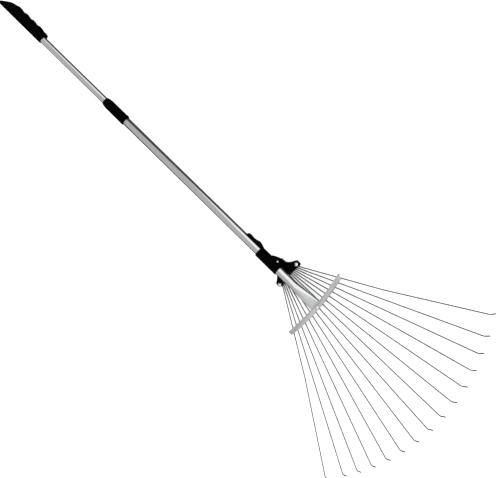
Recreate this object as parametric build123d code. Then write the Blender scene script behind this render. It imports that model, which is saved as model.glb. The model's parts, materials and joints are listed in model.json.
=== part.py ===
from build123d import *
from math import atan, copysign, cos, hypot, radians, sin, sqrt, tan
import os

# Expanding leaf rake with a telescoping handle, in millimetres.
# While it is modelled, the handle tube lies along Y through the origin, the spreader
# is at Y = 0, the grip is at +Y, the tine tips are at -Y, and +Z is the side that the
# tube lies on. At the end everything is moved so that Z = 0 is the ground and the
# origin is below the middle of the whole rake.

# Handle
LOWER_TUBE_DIA = 22.0
UPPER_TUBE_DIA = 19.0
TUBE_WALL = 1.0
LOWER_TUBE_TOP = 745.0
UPPER_TUBE_START = 625.0
UPPER_TUBE_TOP = 1205.0
FLARE_START = 72.0
FLARE_END = 11.0
FLAT_TIP = -4.0
FLAT_THICKNESS = 2.4
FLAT_WIDTH = 30.0
SIDE_ARC = 11.0
FLAT_Z = -2.0

# Twist-lock collar
COLLAR_START = 700.0
COLLAR_LIP = 6.0
COLLAR_END = 780.0
COLLAR_DIA = 27.0
COLLAR_LIP_DIA = 27.8
COLLAR_BORE = 24.8
FERRULE_DIA = 24.0
COLLET_LENGTH = 18.0

# Grip: flat back at -X, finger ridges at +X
GRIP_START = 1045.0
GRIP_BACK = 11.2
GRIP_HALF_HEIGHT = 12.6
GRIP_TOP = 1226.0
RIDGE_COUNT = 4
RIDGE_FIRST = 1075.5
RIDGE_PITCH = 28.3
RIDGE_CREST = 20.6
RIDGE_VALLEY = 15.8

# Spreader: an arched channel whose hub-side flange has one window for each tine
SPREADER_RADIUS = 650.0
SPREADER_WIDTH = 12.0
SPREADER_HALF_LENGTH = 100.5
SPREADER_CORNER = 1.0
SHEET = 1.2
FLANGE_BOTTOM = -14.0
LIP_BOTTOM = -4.6
RIVET_DIA = 5.0
RIVET_HEAD_DIA = 9.0

# Tines: straight spring wire with a peg at the root and a hook at the tip
TINE_COUNT = 15
WIRE_DIA = 3.0
SLOT_PITCH = 13.3
LINE_PITCH = 4.15
LINE_Y = 110.0
SLOT_Z = -9.0
LINE_Z = -25.6
ROOT_Y = 112.0
BEND_RADIUS = 560.0
BEND_CENTRE_Y = 190.0
OUTER_SPLAY = 2.4
SPLAY_FROM_ROOT = 240.0
SPLAY_BEND = 60.0
HOOK_LENGTH = 17.0
HOOK_LEAN = 29.0
HOOK_BEND = 4.5
PEG_DOWN = 7.2
PEG_UP = 5.4
PEG_BEND = 1.8
PEG_ROOM = 0.7

# Travel of the hub along the tube that the model follows
HUB_TRAVEL = 95.0

# Hub: a sleeve on the tube with a fan plate below it, and a cover under the tine roots
HUB_START = 129.0
HUB_END = 197.0
HUB_DIA = 27.6
HUB_BORE = 22.7
FAN_TILT = 6.6
FAN_GAP = 5.2
FAN_BACK = 2.0
FAN_PLATE = 4.0
COVER_PLATE = 3.6
FAN_BOLT_X = 35.2
FAN_BOLT_Y = 108.5
FAN_BOLT_DIA = 4.0
BOLT_HEAD_DIA = 11.0

# Cam lever
PIVOT_X = 19.0
PIVOT_Y = 143.0
PIN_DIA = 4.0
LEVER_HALF_WIDTH = 4.6
LEVER_SLOT = 5.2
EAR = 3.8


def along_y(profile, start, length):
    """Extrude a profile, drawn in X and Z, along +Y from start."""
    return extrude(Plane((0, start, 0), x_dir=(1, 0, 0), z_dir=(0, 1, 0)) * profile, length)


def rod(dia, start, end, bore=0.0):
    """A round rod or tube along Y."""
    solid = along_y(Circle(dia / 2), start, end - start)
    if bore:
        solid -= along_y(Circle(bore / 2), start - 1, end - start + 2)
    return solid


def turned(points, centre=(0, 0)):
    """Turn an outline of (radius, y) points about the Y axis."""
    outline = make_face(Polyline([(r, y, 0) for r, y in points], close=True))
    return revolve(outline, Axis.Y)


def plate(points, bottom, top):
    """Extrude a flat outline of (x, y) points from bottom to top in Z."""
    outline = make_face(Polyline([(x, y, bottom) for x, y in points], close=True))
    return extrude(outline, top - bottom, dir=(0, 0, 1))


def beside(points):
    """Outline points (x, y) whose x is counted from the side of the lower tube."""
    return [(x + LOWER_TUBE_DIA / 2, y) for x, y in points]


def spreader_y(x, offset=0.0):
    """Y of the spreader's arch at x, moved outward from the arch's centre by offset."""
    return SPREADER_RADIUS - sqrt((SPREADER_RADIUS + offset) ** 2 - x * x)


# ---------------------------------------------------------------- tine geometry

def tine_line(i):
    """Slot point and root point of tine i, counted from the middle tine."""
    slot = Vector(i * SLOT_PITCH, spreader_y(i * SLOT_PITCH), SLOT_Z)
    guide = Vector(i * LINE_PITCH, LINE_Y, LINE_Z)
    step = (guide - slot) * (1.0 / (guide.Y - slot.Y))
    root = slot + step * (ROOT_Y - slot.Y)
    return slot, root


def tine_points(i):
    """Peg end, root, hook bend and tip of tine i, with a splay point if it is an outer one."""
    slot, root = tine_line(i)
    run = (slot - root).normalized()
    start = root
    splay = []
    if abs(i) == TINE_COUNT // 2:
        # the outer tines turn outward a little, beyond the part that passes the spreader
        start = root + run * SPLAY_FROM_ROOT
        splay = [start]
        run = run.rotate(Axis.Z, copysign(OUTER_SPLAY, i))
    sideways = Vector(-run.Y, run.X, 0).normalized()
    up = run.cross(sideways)
    # the hook bends lie on an arc about a point on the middle line of the rake
    flat = hypot(run.X, run.Y)
    across = start.X
    along = start.Y - BEND_CENTRE_Y
    half_b = (across * run.X + along * run.Y) / flat
    reach = -half_b + sqrt(half_b ** 2 - across ** 2 - along ** 2 + BEND_RADIUS ** 2)
    bend = start + run * (reach / flat)
    lean = radians(HOOK_LEAN)
    tip = bend + run * (HOOK_LENGTH * sin(lean)) - up * (HOOK_LENGTH * cos(lean))
    # the roots are close together, so every other peg points up
    tilt = radians(FAN_TILT)
    peg_reach = PEG_UP if i % 2 else -PEG_DOWN
    peg = root + Vector(0, sin(tilt), cos(tilt)) * peg_reach
    return [peg, root, *splay, bend, tip]


def tine_motion(i):
    """Hinge axis and the turn per millimetre of hub travel that keeps tine i in its slot."""
    slot, root = tine_line(i)
    across = Vector(slot.X - root.X, 0, slot.Z - root.Z)
    offset = across.length
    depth = root.Y - slot.Y
    start = atan(offset / depth)
    end = atan(offset / (depth + HUB_TRAVEL))
    axis = Vector(0, 1, 0).cross(across).normalized()
    return root, axis, (start - end) / HUB_TRAVEL


def tine(i):
    points = tine_points(i)
    splay = [SPLAY_BEND] * (len(points) - 4)
    path = FilletPolyline(*points, radius=[PEG_BEND, *splay, HOOK_BEND])
    start = Plane(path @ 0, z_dir=path % 0)
    return sweep(start * Circle(WIRE_DIA / 2), path=path)


def window(i):
    """Middle X, half width, middle Z and half height of the flange window for tine i."""
    slot, root = tine_line(i)
    _, _, rate = tine_motion(i)
    across = Vector(slot.X - root.X, 0, slot.Z - root.Z)
    depth = root.Y - slot.Y
    flange = SPREADER_WIDTH / 2 - SHEET / 2
    start = atan(across.length / depth)
    xs = []
    zs = []
    for k in range(41):
        travel = HUB_TRAVEL * k / 40
        reach = tan(start - rate * travel) * (depth + travel - flange) / across.length
        xs.append(root.X + across.X * reach)
        zs.append(root.Z + across.Z * reach)
    turn = atan(abs(across.X) / depth)
    spare = WIRE_DIA / 2 / cos(turn) + SHEET / 2 * tan(turn) + 0.35
    tall = WIRE_DIA / 2 + 0.5
    half_width = (max(xs) - min(xs)) / 2 + spare
    half_height = (max(zs) - min(zs)) / 2 + tall
    return (max(xs) + min(xs)) / 2, half_width, (max(zs) + min(zs)) / 2, half_height


# ---------------------------------------------------------------- handle

def tube_section(y, z, half_width, half_height):
    """Section of the tube: a circle, or a flat with round sides, in the same four edges."""
    if half_width == half_height:
        side = radians(SIDE_ARC)
        corner = (half_width * cos(side), half_width * sin(side))
        top = ThreePointArc(corner, (0, half_width), (-corner[0], corner[1]))
        bottom = ThreePointArc((-corner[0], -corner[1]), (0, -half_width), (corner[0], -corner[1]))
    else:
        corner = (half_width - half_height, half_height)
        top = Line(corner, (-corner[0], corner[1]))
        bottom = Line((-corner[0], -corner[1]), (corner[0], -corner[1]))
    right = ThreePointArc((corner[0], -corner[1]), (half_width, 0), corner)
    left = ThreePointArc((-corner[0], corner[1]), (-half_width, 0), (-corner[0], -corner[1]))
    face = make_face([right, top, left, bottom])
    return Plane((0, y, z), x_dir=(1, 0, 0), z_dir=(0, -1, 0)) * face


def lower_tube():
    """Round tube whose end is squeezed flat over the flare, with a hole for the rivet."""
    radius = LOWER_TUBE_DIA / 2
    bore = radius - TUBE_WALL
    flat = FLAT_THICKNESS / 2
    outer_round = tube_section(FLARE_START, 0, radius, radius)
    outer_flat = tube_section(FLARE_END, FLAT_Z, FLAT_WIDTH / 2, flat)
    tube = extrude(outer_round, LOWER_TUBE_TOP - FLARE_START, dir=(0, 1, 0))
    tube += loft([outer_round, outer_flat], ruled=True)
    tube += extrude(outer_flat, FLARE_END - FLAT_TIP, dir=(0, -1, 0))
    inner_round = tube_section(FLARE_START, 0, bore, bore)
    inner_flat = tube_section(FLARE_END + 5, FLAT_Z, FLAT_WIDTH / 2 - 3, 0.3)
    tube -= extrude(inner_round, LOWER_TUBE_TOP - FLARE_START + 1, dir=(0, 1, 0))
    tube -= loft([inner_round, inner_flat], ruled=True)
    tube -= Pos(0, 0, FLAT_Z) * Cylinder(RIVET_DIA / 2, 10)
    return tube


def upper_tube():
    return rod(UPPER_TUBE_DIA, UPPER_TUBE_START, UPPER_TUBE_TOP, UPPER_TUBE_DIA - 2 * TUBE_WALL)


def guide_bush():
    """Plastic plug in the inner end of the upper tube, which centres it in the lower tube."""
    spigot = UPPER_TUBE_DIA / 2 - TUBE_WALL - 0.05
    guide = LOWER_TUBE_DIA / 2 - TUBE_WALL - 0.07
    end = UPPER_TUBE_START
    points = [(0, end + 16), (spigot - 0.8, end + 16), (spigot, end + 14), (spigot, end)]
    for step in range(3):
        y = end - 7 * step
        points += [(guide, y), (guide, y - 5), (guide - 0.8, y - 5), (guide - 0.8, y - 7)]
    points += [(0, end - 21)]
    return turned(points)


def ferrule():
    """Threaded ferrule pressed on the lower tube, with the lip that stands below the nut."""
    lip = COLLAR_START + COLLAR_LIP
    tube = LOWER_TUBE_DIA / 2
    points = [(tube, COLLAR_START), (COLLAR_LIP_DIA / 2 - 0.8, COLLAR_START)]
    points += [(COLLAR_LIP_DIA / 2, COLLAR_START + 1), (COLLAR_LIP_DIA / 2, lip)]
    points += [(FERRULE_DIA / 2, lip), (FERRULE_DIA / 2, LOWER_TUBE_TOP), (tube, LOWER_TUBE_TOP)]
    return turned(points)


def collet():
    """Split ring that the nut's cone squeezes onto the upper tube."""
    bore = UPPER_TUBE_DIA / 2 + 0.3
    start = LOWER_TUBE_TOP
    end = start + COLLET_LENGTH
    wide = FERRULE_DIA / 2 - 0.3
    ring = turned([(bore, start), (wide, start), (wide, start + 6), (wide - 1.3, end), (bore, end)])
    for k in range(6):
        slit = Pos(0, start + 12, 0) * Rot(0, 60 * k, 0) * Pos(wide - 1, 0, 0) * Box(5, 14, 1.0)
        ring -= slit
    return ring


def collar_nut():
    start = COLLAR_START + COLLAR_LIP + 0.4
    outer = COLLAR_DIA / 2
    bore = COLLAR_BORE / 2
    throat = UPPER_TUBE_DIA / 2 + 0.4
    cone = LOWER_TUBE_TOP + 7
    end = COLLAR_END
    points = [(bore, start), (outer - 0.6, start), (outer, start + 0.6), (outer, end - 13)]
    points += [(outer - 0.5, end - 10), (throat + 1.6, end - 0.6), (throat + 1.0, end)]
    points += [(throat, end), (throat, cone + 14), (bore - 1.4, cone + 12), (bore, cone)]
    return turned(points)


def grip_front():
    """Finger side of the grip: crests and valleys, then a long curve to the closed end."""
    points = [(11.0, GRIP_START), (14.4, GRIP_START + 5)]
    for k in range(RIDGE_COUNT):
        crest = RIDGE_FIRST + k * RIDGE_PITCH
        points += [(RIDGE_VALLEY, crest - RIDGE_PITCH / 2 + 4), (RIDGE_CREST, crest)]
    last = RIDGE_FIRST + (RIDGE_COUNT - 1) * RIDGE_PITCH
    points += [(16.4, last + 18), (12.6, last + 34), (8.0, last + 49)]
    points += [(2.0, GRIP_TOP - 6), (-3.0, GRIP_TOP - 0.6)]
    return points


def hand_grip():
    front = Spline(*grip_front())
    back = Polyline((-3.0, GRIP_TOP - 0.6), (-6.0, GRIP_TOP), (-GRIP_BACK, GRIP_TOP - 10),
                    (-GRIP_BACK, GRIP_START + 16), (-GRIP_BACK + 0.7, GRIP_START), (11.0, GRIP_START))
    side = extrude(make_face(Wire([*front.edges(), *back.edges()])), GRIP_HALF_HEIGHT, both=True)
    middle = (RIDGE_CREST + 0.6 - GRIP_BACK) / 2
    section = Pos(middle, 0) * RectangleRounded(
        RIDGE_CREST + 0.6 + GRIP_BACK, 2 * GRIP_HALF_HEIGHT, GRIP_HALF_HEIGHT - 2.2)
    grip = side & along_y(section, GRIP_START - 5, GRIP_TOP - GRIP_START + 10)
    grip -= rod(UPPER_TUBE_DIA, GRIP_START - 1, UPPER_TUBE_TOP)
    return grip


# ---------------------------------------------------------------- spreader

def arch(inner, outer, half_length, bottom, top):
    """A band of the spreader's arch between two offsets from its middle line."""
    edges = []
    ends = []
    for offset in (inner, outer):
        left = (-half_length, spreader_y(half_length, offset))
        right = (half_length, spreader_y(half_length, offset))
        edges.append(ThreePointArc(left, (0, spreader_y(0, offset)), right))
        ends.append((left, right))
    edges.append(Line(ends[0][0], ends[1][0]))
    edges.append(Line(ends[0][1], ends[1][1]))
    return extrude(Pos(0, 0, bottom) * make_face(edges), top - bottom)


def spreader():
    half = SPREADER_WIDTH / 2
    under_web = FLAT_Z + FLAT_THICKNESS / 2
    top = under_web + SHEET
    web = arch(-half, half, SPREADER_HALF_LENGTH, under_web, top)
    corners = web.edges().filter_by(Axis.Z)
    bar = fillet(corners, SPREADER_CORNER)
    ends = SPREADER_HALF_LENGTH - SPREADER_CORNER
    bar += arch(-half, -half + SHEET, ends, FLANGE_BOTTOM, under_web + 0.1)
    bar += arch(half - SHEET, half, ends, LIP_BOTTOM, under_web + 0.1)
    # the flattened tube end passes over the flange, in a notch under the web
    bar -= Pos(0, half, FLAT_Z) * Box(FLAT_WIDTH + 1.2, 8, FLAT_THICKNESS)
    for i in range(-(TINE_COUNT // 2), TINE_COUNT // 2 + 1):
        x, half_width, z, half_height = window(i)
        y = spreader_y(x, -half)
        bar -= Pos(x, y, z) * Box(2 * half_width, 6, 2 * half_height)
    bar -= Pos(0, 0, under_web) * Cylinder(RIVET_DIA / 2, 10)
    return bar


def rivet():
    """Domed rivet that closes the web onto the flattened tube end."""
    bottom = FLAT_Z - FLAT_THICKNESS / 2
    top = FLAT_Z + FLAT_THICKNESS / 2 + SHEET
    body = Pos(0, 0, (bottom + top) / 2) * Cylinder(RIVET_DIA / 2, top - bottom)
    return body + dome(RIVET_HEAD_DIA, 2.0, top) + dome(RIVET_HEAD_DIA - 1, -1.5, bottom)


def dome(dia, height, z):
    """A low dome on the level z, pointing up, or down if height is negative."""
    radius = dia / 2
    crown = (radius ** 2 + height ** 2) / (2 * abs(height))
    sign = 1 if height > 0 else -1
    ball = Pos(0, 0, z + height - sign * crown) * Sphere(crown)
    keep = Pos(0, 0, z + height / 2) * Cylinder(radius + 1, abs(height))
    return ball & keep


# ---------------------------------------------------------------- hub

def fan_plane(offset):
    """Plane parallel to the fan, offset from the middle of the pocket for the tines."""
    tilt = radians(FAN_TILT)
    _, root = tine_line(0)
    origin = root + Vector(0, sin(tilt), cos(tilt)) * offset
    return Plane(origin, x_dir=(1, 0, 0), z_dir=(0, sin(tilt), cos(tilt)))


def fan_outline():
    """Outline of the fan plates, on the fan's plane with the roots at Y 0."""
    right = [(FAN_BOLT_X + 5.6, -6), (FAN_BOLT_X + 5.4, 2.5), (29, 9), (20, 16.5), (15, 23)]
    right += [(13, 38)]
    left = [(-x, y) for x, y in reversed(right)]
    front = ThreePointArc((-FAN_BOLT_X + 2, -11.4), (0, -7.6), (FAN_BOLT_X - 2, -11.4))
    corner_right = ThreePointArc((FAN_BOLT_X - 2, -11.4), (FAN_BOLT_X + 3.6, -10.0), right[0])
    corner_left = ThreePointArc(left[-1], (-FAN_BOLT_X - 3.6, -10.0), (-FAN_BOLT_X + 2, -11.4))
    sides = Polyline(*right, *left)
    return Pos(0, FAN_BACK, 0) * make_face([front, corner_right, *sides.edges(), corner_left])


def fan_slab(offset, thickness):
    return extrude(fan_plane(offset) * fan_outline(), thickness)


def at_bolts(make):
    """Copies of a piece, modelled at the origin, at the two fan bolts."""
    copies = []
    for side in (-1, 1):
        copies.append(fan_plane(0) * (Pos(side * FAN_BOLT_X, FAN_BOLT_Y - ROOT_Y, 0) * make()))
    return copies


def peg_holes(parity, reach):
    """Holes for every other tine's peg, from the middle of the pocket."""
    holes = []
    for i in range(-(TINE_COUNT // 2), TINE_COUNT // 2 + 1):
        if i % 2 == parity:
            _, root = tine_line(i)
            hole = Cylinder(WIRE_DIA / 2 + PEG_ROOM, abs(reach))
            holes.append(fan_plane(reach / 2) * (Pos(root.X, 0, 0) * hole))
    return holes


def hub_ears():
    """Two ears on the sleeve that carry the lever's pin."""
    outline = [(-2, 131.5), (9.5, 131.5), (12, 136), (12.6, 143), (11.6, 149), (9.5, 154)]
    outline += [(6.5, 160.5), (2.6, 167), (-2, 167)]
    outline = beside(outline)
    ears = plate(outline, LEVER_SLOT, LEVER_SLOT + EAR)
    ears += plate(outline, -LEVER_SLOT - EAR, -LEVER_SLOT)
    bridge = beside([(-2, 131.5), (9.5, 131.5), (9.5, 133.4), (-2, 133.4)])
    ears += plate(bridge, -LEVER_SLOT - 0.1, LEVER_SLOT + 0.1)
    return ears


def hub_body():
    """Sleeve, ears and upper fan plate, moulded as one."""
    half = FAN_GAP / 2
    body = rod(HUB_DIA, HUB_START, HUB_END)
    body += hub_ears()
    body += fan_slab(half, FAN_PLATE)
    saddle = plate([(-12, HUB_START), (12, HUB_START), (10, 152), (-10, 152)], LINE_Z - 3, -6)
    below_fan = extrude(fan_plane(half) * Rectangle(120, 200), -30)
    body += saddle - below_fan
    body -= rod(HUB_BORE, HUB_START - 40, HUB_END + 1)
    slot_length = HUB_END - 133.4 + 1
    slot_x = LOWER_TUBE_DIA / 2 + 3.5
    body -= Pos(slot_x, 133.4 + slot_length / 2, 0) * Box(9, slot_length, 2 * LEVER_SLOT)
    body -= Pos(PIVOT_X, PIVOT_Y, 0) * Cylinder(PIN_DIA / 2, 40)
    for hole in at_bolts(lambda: Cylinder(FAN_BOLT_DIA / 2, 40)) + peg_holes(1, PEG_UP + 0.4):
        body -= hole
    return body


def fan_cover():
    """Lower fan plate with a rim round the pocket that holds the tine roots."""
    half = FAN_GAP / 2
    cover = fan_slab(-half - COVER_PLATE, COVER_PLATE)
    rim = fan_slab(-half - 0.1, FAN_GAP + 0.1)
    right = [(60, -30), (60, -1.6), (36.6, -1.6), (35.4, 2.4), (27.5, 5.4), (12, 7.5)]
    left = [(-x, y) for x, y in reversed(right)]
    pocket = Polyline(*right, *left, close=True)
    pocket_face = Pos(0, FAN_BACK, 0) * make_face(pocket)
    rim -= extrude(fan_plane(-half) * pocket_face, FAN_GAP + 1)
    cover += rim
    for hole in at_bolts(lambda: Cylinder(FAN_BOLT_DIA / 2, 40)) + peg_holes(0, -20):
        cover -= hole
    return cover


def fan_bolt():
    half = FAN_GAP / 2
    head = half + FAN_PLATE
    end = -half - COVER_PLATE - 6.5
    shank = Pos(0, 0, (head + end) / 2) * Cylinder(FAN_BOLT_DIA / 2, head - end)
    return shank + dome(BOLT_HEAD_DIA, 3.4, head)


def fan_spacer():
    return Cylinder(FAN_BOLT_DIA / 2 + 0.6, FAN_GAP) - Cylinder(FAN_BOLT_DIA / 2, FAN_GAP + 1)


def fan_washer():
    level = -FAN_GAP / 2 - COVER_PLATE - 0.5
    return Pos(0, 0, level) * (Cylinder(5.0, 1.0) - Cylinder(FAN_BOLT_DIA / 2, 3))


def fan_nut():
    level = -FAN_GAP / 2 - COVER_PLATE - 1.0
    blank = extrude(RegularPolygon(4.0, 6), 3.6)
    return Pos(0, 0, level - 3.6) * (blank - Cylinder(FAN_BOLT_DIA / 2, 12))


def brake_shoe():
    """Friction shoe between the cam and the tube."""
    block = Pos(LOWER_TUBE_DIA / 2 + 1, 142.8, 0) * Box(2.0, 17, 2 * LEVER_HALF_WIDTH)
    return block - rod(LOWER_TUBE_DIA + 0.6, 120, 160)


def lever_pin():
    half = LEVER_SLOT + EAR
    pin = Cylinder(PIN_DIA / 2, 2 * half)
    pin += dome(5.0, 1.1, half) + dome(5.0, -1.1, -half)
    return Pos(PIVOT_X, PIVOT_Y, 0) * pin


def lever_outline():
    """Arm of the lever along the tube, with its finger swell and thumb tail."""
    swell = [(2.9, 192), (6.0, 201), (8.5, 210), (6.6, 219), (4.6, 228), (5.4, 236)]
    swell += [(6.0, 241), (4.2, 246.5), (0.8, 249.6)]
    arm = [(0.8, 249.6), (0.4, 249), (0.4, 154), (2.6, 151.8), (3.4, 146), (12.4, 146)]
    arm += [(10.8, 150), (8.2, 154.6), (5.4, 160), (2.9, 165), (2.9, 192)]
    outer = Spline(*beside(swell))
    inner = Polyline(*beside(arm))
    return make_face([*outer.edges(), *inner.edges()])


def cam_lever():
    lever = Pos(0, 0, -LEVER_HALF_WIDTH) * extrude(lever_outline(), 2 * LEVER_HALF_WIDTH)
    lever += Pos(PIVOT_X - 0.3, PIVOT_Y, 0) * Cylinder(5.1, 2 * LEVER_HALF_WIDTH)
    lever -= Pos(PIVOT_X, PIVOT_Y, 0) * Cylinder(PIN_DIA / 2 + 0.05, 30)
    return lever


# ---------------------------------------------------------------- assembly

def build():
    nodes = {
        "lower_tube": lower_tube(),
        "spreader": spreader(),
        "spreader_rivet": rivet(),
        "collar_ferrule": ferrule(),
        "collar_collet": collet(),
        "collar_nut": collar_nut(),
        "upper_tube": upper_tube(),
        "guide_bush": guide_bush(),
        "hand_grip": hand_grip(),
        "hub_body": hub_body(),
        "fan_cover": fan_cover(),
        "fan_bolts": Compound(at_bolts(fan_bolt)),
        "fan_spacers": Compound(at_bolts(fan_spacer)),
        "fan_washers": Compound(at_bolts(fan_washer)),
        "fan_nuts": Compound(at_bolts(fan_nut)),
        "brake_shoe": brake_shoe(),
        "lever_pin": lever_pin(),
        "cam_lever": cam_lever(),
    }
    for k in range(TINE_COUNT):
        nodes[f"tine_{k + 1:02d}"] = tine(TINE_COUNT // 2 - k)
    return nodes


def ground_shift(nodes):
    """Move that puts the lowest point at Z = 0 and the middle of the rake at X = Y = 0."""
    boxes = [node.bounding_box() for node in nodes.values()]
    low = [min(getattr(box.min, axis) for box in boxes) for axis in "XYZ"]
    high = [max(getattr(box.max, axis) for box in boxes) for axis in "XYZ"]
    return Vector(-(low[0] + high[0]) / 2, -(low[1] + high[1]) / 2, -low[2])


NODES = build()
SHIFT = ground_shift(NODES)

if __name__ == "__main__":
    os.makedirs("parts", exist_ok=True)
    for name, node in NODES.items():
        export_step(Pos(SHIFT) * node, f"parts/{name}.step")
    print("shift", SHIFT)
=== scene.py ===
import json
import math

import bmesh
import bpy
from mathutils import Matrix, Vector


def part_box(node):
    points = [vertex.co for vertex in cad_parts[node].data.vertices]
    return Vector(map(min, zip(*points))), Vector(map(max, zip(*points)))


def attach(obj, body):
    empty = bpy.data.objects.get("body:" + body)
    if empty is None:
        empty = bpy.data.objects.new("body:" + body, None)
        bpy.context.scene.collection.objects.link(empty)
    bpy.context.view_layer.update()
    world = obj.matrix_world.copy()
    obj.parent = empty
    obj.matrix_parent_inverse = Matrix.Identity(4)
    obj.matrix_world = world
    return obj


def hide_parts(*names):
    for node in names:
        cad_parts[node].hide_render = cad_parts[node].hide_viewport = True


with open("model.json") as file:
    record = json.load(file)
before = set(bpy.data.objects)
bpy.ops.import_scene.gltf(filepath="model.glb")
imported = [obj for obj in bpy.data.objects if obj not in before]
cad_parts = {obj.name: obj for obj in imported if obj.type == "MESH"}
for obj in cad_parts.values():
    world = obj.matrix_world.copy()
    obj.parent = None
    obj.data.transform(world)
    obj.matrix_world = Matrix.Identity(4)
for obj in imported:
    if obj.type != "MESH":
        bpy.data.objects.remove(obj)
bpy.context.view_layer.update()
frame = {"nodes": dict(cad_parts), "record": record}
nodes = frame["nodes"]
scene = bpy.context.scene

MM = 0.001

# Lower tube, in mm: the flat end, and the stretch over which it opens to round.
TUBE_RADIUS = 11.0
TUBE_WALL = 1.0
TUBE_END = 745.0
FLAT_TIP = -4.0
FLAT_CENTRE = -2.0
FLAT_HALF_WIDTH = 15.0
FLAT_HALF_THICKNESS = 1.2
FLARE = (9.0, 74.0)
END_ROUNDING = 0.35
FLARE_STEPS = 36
FLARE_STRAIGHT = 0.85
PRESSED_FROM = 74
PRESSED_FULLY = 40

# Studio: strength of the sky on its two sides and below the horizon, floor and key light.
SKY_DIM = 0.50
SKY_BRIGHT = 1.05
SKY_BELOW = 0.07
SKY_BRIGHT_SIDE = (0.6, -0.8, 0.0)
FLOOR_HALF_SIZE = 6.0
FLOOR_GLOW = 0.55
KEY_AT = Vector((0.6, -0.4, 3.2))
KEY_SIZE = 3.0
KEY_POWER = 30.0

# Camera: place in metres, and its right, down and forward directions.
CAMERA_AT = Vector((0.7911, -0.6541, 1.6877))
CAMERA_ROWS = (
    (0.5547, -0.6929, -0.4606),
    (-0.7204, -0.6770, 0.1509),
    (-0.4164, 0.2481, -0.8747),
)
CAMERA_LENS = 55.2


def middle(node, axis):
    low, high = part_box(node)
    return (low[axis] + high[axis]) / 2


# The handle's axis lies on Y at this height; Y is counted from the rivet of the spreader.
AXIS_Z = middle("upper_tube", 2)
RIVET_Y = middle("spreader_rivet", 1)


def place(x, y, z):
    """Metres in the row frame, from millimetres about the handle's axis and the rivet."""
    return Vector((x * MM, RIVET_Y + y * MM, AXIS_Z + z * MM))


# ---------------------------------------------------------------- shader helpers

class Shader:
    """A Principled material with helpers for the few nodes that the looks are made of."""

    def __init__(self, name, **sockets):
        self.material = bpy.data.materials.new(name)
        self.material.use_nodes = True
        self.tree = self.material.node_tree
        self.bsdf = next(n for n in self.tree.nodes if n.type == "BSDF_PRINCIPLED")
        for socket, value in sockets.items():
            self.bsdf.inputs[socket.replace("_", " ")].default_value = value
        self.coords = self.new("ShaderNodeTexCoord").outputs["Object"]

    def new(self, kind):
        return self.tree.nodes.new(kind)

    def link(self, source, target):
        self.tree.links.new(source, target)

    def stretched(self, x, y, z):
        """Object coordinates scaled on each axis, so that a pattern runs along one of them."""
        node = self.new("ShaderNodeMapping")
        node.inputs["Scale"].default_value = (x, y, z)
        self.link(self.coords, node.inputs["Vector"])
        return node.outputs["Vector"]

    def noise(self, scale, detail=4.0, rough=0.55, vector=None):
        node = self.new("ShaderNodeTexNoise")
        node.inputs["Scale"].default_value = scale
        node.inputs["Detail"].default_value = detail
        node.inputs["Roughness"].default_value = rough
        self.link(vector or self.coords, node.inputs["Vector"])
        return node.outputs["Fac"]

    def cells(self, scale):
        node = self.new("ShaderNodeTexVoronoi")
        node.inputs["Scale"].default_value = scale
        self.link(self.coords, node.inputs["Vector"])
        return node.outputs["Color"]

    def ramp(self, source, stops):
        """Colour ramp; stops are (position, grey level or colour)."""
        node = self.new("ShaderNodeValToRGB")
        elements = node.color_ramp.elements
        while len(elements) < len(stops):
            elements.new(0.5)
        for element, (position, colour) in zip(elements, stops):
            element.position = position
            if isinstance(colour, (int, float)):
                colour = (colour, colour, colour)
            element.color = (*colour, 1.0)
        self.link(source, node.inputs["Fac"])
        return node.outputs["Color"]

    def spread(self, source, low, high, start=0.3, end=0.7):
        """Map start..end of a source to low..high, clamped."""
        node = self.new("ShaderNodeMapRange")
        for socket, value in zip(("From Min", "From Max", "To Min", "To Max"), (start, end, low, high)):
            node.inputs[socket].default_value = value
        self.link(source, node.inputs["Value"])
        return node.outputs["Result"]

    def mix(self, factor, a, b, kind="MIX"):
        node = self.new("ShaderNodeMix")
        node.data_type = "RGBA"
        node.blend_type = kind
        for socket, value in ((node.inputs[0], factor), (node.inputs[6], a), (node.inputs[7], b)):
            if isinstance(value, (int, float)):
                socket.default_value = value
            else:
                self.link(value, socket)
        return node.outputs[2]

    def maths(self, operation, a, b=0.0):
        node = self.new("ShaderNodeMath")
        node.operation = operation
        for socket, value in zip(node.inputs, (a, b)):
            if isinstance(value, (int, float)):
                socket.default_value = value
            else:
                self.link(value, socket)
        return node.outputs[0]

    def bump(self, height, strength, distance):
        node = self.new("ShaderNodeBump")
        node.inputs["Strength"].default_value = strength
        node.inputs["Distance"].default_value = distance
        self.link(height, node.inputs["Height"])
        self.link(node.outputs["Normal"], self.bsdf.inputs["Normal"])

    def colour(self, source):
        self.link(source, self.bsdf.inputs["Base Color"])

    def roughness(self, source):
        self.link(source, self.bsdf.inputs["Roughness"])


# ---------------------------------------------------------------- materials

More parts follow.
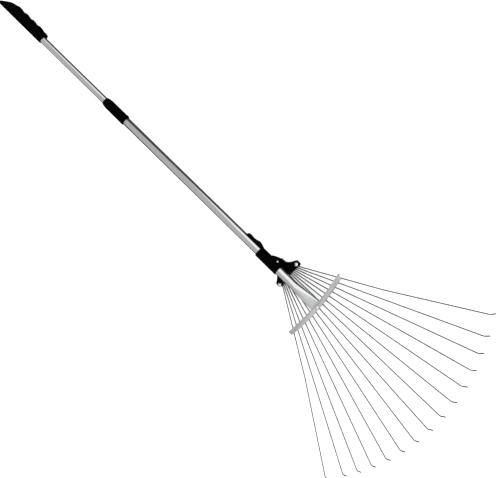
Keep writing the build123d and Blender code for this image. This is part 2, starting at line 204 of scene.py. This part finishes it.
def tube_chrome():
    """Plated tube: fine polishing lines along it, faint handling haze, press marks on the flat."""
    s = Shader("tube_chrome", Metallic=1.0)
    lines = s.noise(1.0, 3.0, 0.6, s.stretched(1400, 14, 1400))
    haze = s.noise(22.0, 5.0, 0.6)
    separate = s.new("ShaderNodeSeparateXYZ")
    s.link(s.coords, separate.inputs["Vector"])
    along = separate.outputs["Y"]
    flat_start = RIVET_Y + PRESSED_FROM * MM
    flat_end = RIVET_Y + PRESSED_FULLY * MM
    pressed = s.spread(along, 0.0, 1.0, flat_start, flat_end)
    marks = s.noise(1.0, 4.0, 0.7, s.stretched(90, 1500, 90))
    base = s.ramp(lines, [(0.3, (0.77, 0.78, 0.79)), (0.7, (0.87, 0.87, 0.88))])
    dull = s.ramp(marks, [(0.35, (0.78, 0.79, 0.80)), (0.65, (0.97, 0.97, 0.97))])
    s.colour(s.mix(pressed, base, dull))
    polished = s.spread(haze, 0.07, 0.17)
    s.roughness(s.maths("ADD", polished, s.maths("MULTIPLY", pressed, 0.16)))
    s.bump(s.mix(pressed, lines, marks), 0.12, 0.00005)
    return s.material


def tine_wire():
    """Galvanised spring wire: a mottled zinc skin with small dull and bright patches."""
    s = Shader("tine_wire", Metallic=1.0)
    mottle = s.noise(420.0, 5.0, 0.6)
    patches = s.noise(38.0, 4.0, 0.6)
    colour = s.ramp(mottle, [(0.3, (0.24, 0.243, 0.246)), (0.7, (0.36, 0.363, 0.367))])
    worn = s.ramp(patches, [(0.35, 0.82), (0.65, 1.0)])
    s.colour(s.mix(1.0, colour, worn, "MULTIPLY"))
    s.roughness(s.spread(mottle, 0.26, 0.42))
    s.bump(mottle, 0.18, 0.0001)
    return s.material


def spreader_zinc():
    """Galvanised sheet: satin, with spangle and rolling lines along its length."""
    s = Shader("spreader_zinc", Metallic=1.0)
    spangle = s.cells(520.0)
    lines = s.noise(1.0, 4.0, 0.6, s.stretched(25, 900, 900))
    colour = s.ramp(lines, [(0.3, (0.72, 0.725, 0.73)), (0.7, (0.82, 0.825, 0.83))])
    tint = s.ramp(spangle, [(0.0, 0.90), (1.0, 1.0)])
    s.colour(s.mix(1.0, colour, tint, "MULTIPLY"))
    s.roughness(s.spread(lines, 0.40, 0.54))
    s.bump(lines, 0.15, 0.00008)
    return s.material


def fastener_zinc():
    s = Shader("fastener_zinc", Metallic=1.0)
    haze = s.noise(300.0, 4.0, 0.6)
    s.colour(s.ramp(haze, [(0.3, (0.78, 0.79, 0.80)), (0.7, (0.88, 0.88, 0.87))]))
    s.roughness(s.spread(haze, 0.10, 0.22))
    s.bump(haze, 0.08, 0.00005)
    return s.material


def moulded_black(name, dark, light, rough, grain, depth):
    """Black moulding: fine spark texture, slow tone changes from the flow of the melt."""
    s = Shader(name, Specular_IOR_Level=0.03)
    texture = s.noise(grain, 3.0, 0.7)
    flow = s.noise(45.0, 3.0, 0.5)
    s.colour(s.ramp(flow, [(0.3, dark), (0.7, light)]))
    s.roughness(s.spread(flow, rough - 0.05, rough + 0.08))
    s.bump(texture, 0.35, depth)
    return s.material


def natural_acetal():
    s = Shader("natural_acetal", Specular_IOR_Level=0.4)
    flow = s.noise(120.0, 3.0, 0.5)
    s.colour(s.ramp(flow, [(0.3, (0.70, 0.69, 0.64)), (0.7, (0.80, 0.79, 0.75))]))
    s.roughness(s.spread(flow, 0.34, 0.48))
    return s.material


def friction_pad():
    s = Shader("friction_pad", Specular_IOR_Level=0.2)
    fibre = s.noise(900.0, 5.0, 0.7)
    s.colour(s.ramp(fibre, [(0.3, (0.03, 0.03, 0.03)), (0.7, (0.09, 0.085, 0.08))]))
    s.roughness(s.spread(fibre, 0.7, 0.9))
    s.bump(fibre, 0.5, 0.0002)
    return s.material


MATERIALS = {
    "tube": tube_chrome(),
    "tine": tine_wire(),
    "spreader": spreader_zinc(),
    "bright_fastener": fastener_zinc(),
    "black_plastic": moulded_black("black_nylon", 0.0004, 0.0009, 0.46, 2600.0, 0.00006),
    "grip_rubber": moulded_black("grip_rubber", 0.0004, 0.0008, 0.58, 1500.0, 0.00012),
    "inner_plastic": natural_acetal(),
    "brake": friction_pad(),
}


def finish_with(obj, slot):
    obj.data.materials.clear()
    obj.data.materials.append(MATERIALS[slot])


# ---------------------------------------------------------------- pieces

def add_piece(name, mesh, body, slot, *replaced):
    obj = bpy.data.objects.new(name, mesh)
    scene.collection.objects.link(obj)
    finish_with(obj, slot)
    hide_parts(*replaced)
    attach(obj, body)
    return obj


def lofted_loop(name, rings):
    """Mesh through rings of points, whose last ring joins the first again."""
    bm = bmesh.new()
    loops = [[bm.verts.new(p) for p in ring] for ring in rings]
    count = len(rings[0])
    for a, b in zip(loops, loops[1:]):
        for k in range(count):
            bm.faces.new((a[k], a[(k + 1) % count], b[(k + 1) % count], b[k]))
    last, first = loops[-1], loops[0]
    for k in range(count):
        bm.faces.new((last[k], last[(k + 1) % count], first[(k + 1) % count], first[k]))
    bmesh.ops.recalc_face_normals(bm, faces=bm.faces)
    mesh = bpy.data.meshes.new(name)
    bm.to_mesh(mesh)
    bm.free()
    return mesh


def smooth_by_angle(mesh, degrees=40.0):
    mesh.shade_smooth()
    mesh.set_sharp_from_angle(angle=math.radians(degrees))


def smoothstep(t):
    return t * t * (3 - 2 * t)


def super_ring(centre_x, y, centre_z, half_x, half_z, power, count=72):
    """A ring of a superellipse across the handle."""
    ring = []
    for k in range(count):
        angle = 2 * math.pi * k / count
        c, s = math.cos(angle), math.sin(angle)
        x = centre_x + half_x * math.copysign(abs(c) ** (2 / power), c)
        z = centre_z + half_z * math.copysign(abs(s) ** (2 / power), s)
        ring.append(place(x, y, z))
    return ring


def lower_tube_mesh():
    """Lower tube: round, then pressed flat over a smooth flare to the end under the spreader."""
    start, end = FLARE
    outside, inside = [], []
    stations = [FLAT_TIP, FLAT_TIP + 0.6, 4.0]
    stations += [start + (end - start) * k / FLARE_STEPS for k in range(FLARE_STEPS + 1)]
    stations += [90.0, TUBE_END - 0.4, TUBE_END]
    for y in stations:
        # mostly straight sides, eased only where they meet the flat and the round tube
        run = min(1.0, max(0.0, (y - start) / (end - start)))
        press = 1 - (FLARE_STRAIGHT * run + (1 - FLARE_STRAIGHT) * smoothstep(run))
        edge = END_ROUNDING if y in (FLAT_TIP, TUBE_END) else 0.0
        half_x = TUBE_RADIUS + (FLAT_HALF_WIDTH - TUBE_RADIUS) * press - edge
        half_z = TUBE_RADIUS - (TUBE_RADIUS - FLAT_HALF_THICKNESS) * press - edge
        power = 2.0 + 2.6 * press
        outside.append(super_ring(0, y, FLAT_CENTRE * press, half_x, half_z, power))
        wall = TUBE_WALL * min(1.0, 1.7 - press)
        inner_z = max(0.15, half_z - wall)
        inside.append(super_ring(0, y, FLAT_CENTRE * press, half_x - wall, inner_z, power))
    mesh = lofted_loop("tube_lower", outside + inside[::-1])
    smooth_by_angle(mesh, 50)
    return mesh


# ---------------------------------------------------------------- build

slots = {part["node"]: part["material_slot"] for part in frame["record"]["subparts"]}
for node, obj in nodes.items():
    finish_with(obj, slots[node])

add_piece("tube_lower", lower_tube_mesh(), "lower_handle", "tube", "lower_tube")


def softened(node, name, body, slot, width, segments=2, angle=34.0):
    """A copy of a CAD node whose edges are rounded over, as a moulding's are."""
    bm = bmesh.new()
    bm.from_mesh(nodes[node].data)
    bmesh.ops.remove_doubles(bm, verts=bm.verts, dist=2e-6)
    bmesh.ops.dissolve_limit(bm, angle_limit=math.radians(0.6), verts=bm.verts, edges=bm.edges)
    mesh = bpy.data.meshes.new(name)
    bm.to_mesh(mesh)
    bm.free()
    obj = bpy.data.objects.new(name, mesh)
    scene.collection.objects.link(obj)
    bevel = obj.modifiers.new("edges", "BEVEL")
    bevel.width = width * MM
    bevel.segments = segments
    bevel.limit_method = "ANGLE"
    bevel.angle_limit = math.radians(angle)
    bevel.miter_outer = "MITER_ARC"
    bevel.harden_normals = False
    depsgraph = bpy.context.evaluated_depsgraph_get()
    rounded = bpy.data.meshes.new_from_object(obj.evaluated_get(depsgraph))
    rounded.name = name
    obj.modifiers.clear()
    obj.data = rounded
    smooth_by_angle(rounded, 30)
    finish_with(obj, slot)
    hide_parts(node)
    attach(obj, body)
    return obj


SOFT_EDGES = (
    # CAD node, piece, body, material slot, rounding in mm, segments
    ("cam_lever", "lever_shell", "lever", "black_plastic", 1.1, 4),
    ("hub_body", "hub_shell", "hub", "black_plastic", 0.35, 2),
    ("fan_cover", "fan_shell", "hub", "black_plastic", 0.4, 3),
    ("spreader", "spreader_strip", "lower_handle", "spreader", 0.18, 2),
    ("hand_grip", "grip_sleeve", "upper_handle", "grip_rubber", 0.8, 4),
)
for soft in SOFT_EDGES:
    softened(*soft)

# ---------------------------------------------------------------- floor, light, camera

def studio_floor():
    bm = bmesh.new()
    bmesh.ops.create_grid(bm, x_segments=8, y_segments=8, size=FLOOR_HALF_SIZE)
    mesh = bpy.data.meshes.new("floor")
    bm.to_mesh(mesh)
    bm.free()
    obj = bpy.data.objects.new("floor", mesh)
    scene.collection.objects.link(obj)
    obj.location = (0, 0, -0.0005)
    s = Shader("studio_paper", Roughness=0.9, Specular_IOR_Level=0.0, Emission_Strength=FLOOR_GLOW)
    s.bsdf.inputs["Emission Color"].default_value = (1, 1, 1, 1)
    s.colour(s.ramp(s.noise(3.0, 3.0, 0.5), [(0.3, 0.90), (0.7, 0.93)]))
    mesh.materials.append(s.material)
    obj.visible_glossy = False


def studio_world():
    """Soft box sky: bright on one side, greyer on the other, dark below the horizon."""
    world = bpy.data.worlds.new("studio")
    scene.world = world
    world.use_nodes = True
    tree = world.node_tree
    background = next(n for n in tree.nodes if n.type == "BACKGROUND")
    coords = tree.nodes.new("ShaderNodeTexCoord").outputs["Generated"]

    def toward(direction):
        node = tree.nodes.new("ShaderNodeVectorMath")
        node.operation = "DOT_PRODUCT"
        node.inputs[1].default_value = direction
        tree.links.new(coords, node.inputs[0])
        return node.outputs["Value"]

    def step(source, start, end, low, high):
        node = tree.nodes.new("ShaderNodeMapRange")
        node.interpolation_type = "SMOOTHSTEP"
        for socket, value in zip(("From Min", "From Max", "To Min", "To Max"), (start, end, low, high)):
            node.inputs[socket].default_value = value
        tree.links.new(source, node.inputs["Value"])
        return node.outputs["Result"]

    def combine(operation, a, b):
        node = tree.nodes.new("ShaderNodeMath")
        node.operation = operation
        for socket, value in zip(node.inputs, (a, b)):
            if isinstance(value, (int, float)):
                socket.default_value = value
            else:
                tree.links.new(value, socket)
        return node.outputs[0]

    side = step(toward(SKY_BRIGHT_SIDE), -0.15, 0.10, SKY_DIM, SKY_BRIGHT)
    up = step(toward((0, 0, 1)), -0.06, 0.10, 0.0, 1.0)
    sky = combine("MULTIPLY", side, up)
    ground = combine("MULTIPLY", combine("SUBTRACT", 1.0, up), SKY_BELOW)
    tree.links.new(combine("ADD", sky, ground), background.inputs["Strength"])
    background.inputs["Color"].default_value = (1, 1, 1, 1)


def camera():
    data = bpy.data.cameras.new("camera")
    data.sensor_width = 36.0
    data.lens = CAMERA_LENS
    data.clip_end = 50.0
    obj = bpy.data.objects.new("camera", data)
    scene.collection.objects.link(obj)
    right = Vector(CAMERA_ROWS[0])
    up = -Vector(CAMERA_ROWS[1])
    back = -Vector(CAMERA_ROWS[2])
    rotation = Matrix((right, up, back)).transposed()
    obj.matrix_world = Matrix.Translation(CAMERA_AT) @ rotation.to_4x4()
    scene.camera = obj


def key_light():
    data = bpy.data.lights.new("key", "AREA")
    data.shape = "DISK"
    data.size = KEY_SIZE
    data.energy = KEY_POWER
    obj = bpy.data.objects.new("key", data)
    scene.collection.objects.link(obj)
    obj.location = KEY_AT
    obj.rotation_euler = (-KEY_AT).to_track_quat("-Z", "Y").to_euler()
    obj.visible_glossy = False


studio_floor()
studio_world()
camera()
key_light()
scene.view_settings.view_transform = "Standard"
scene.view_settings.look = "None"
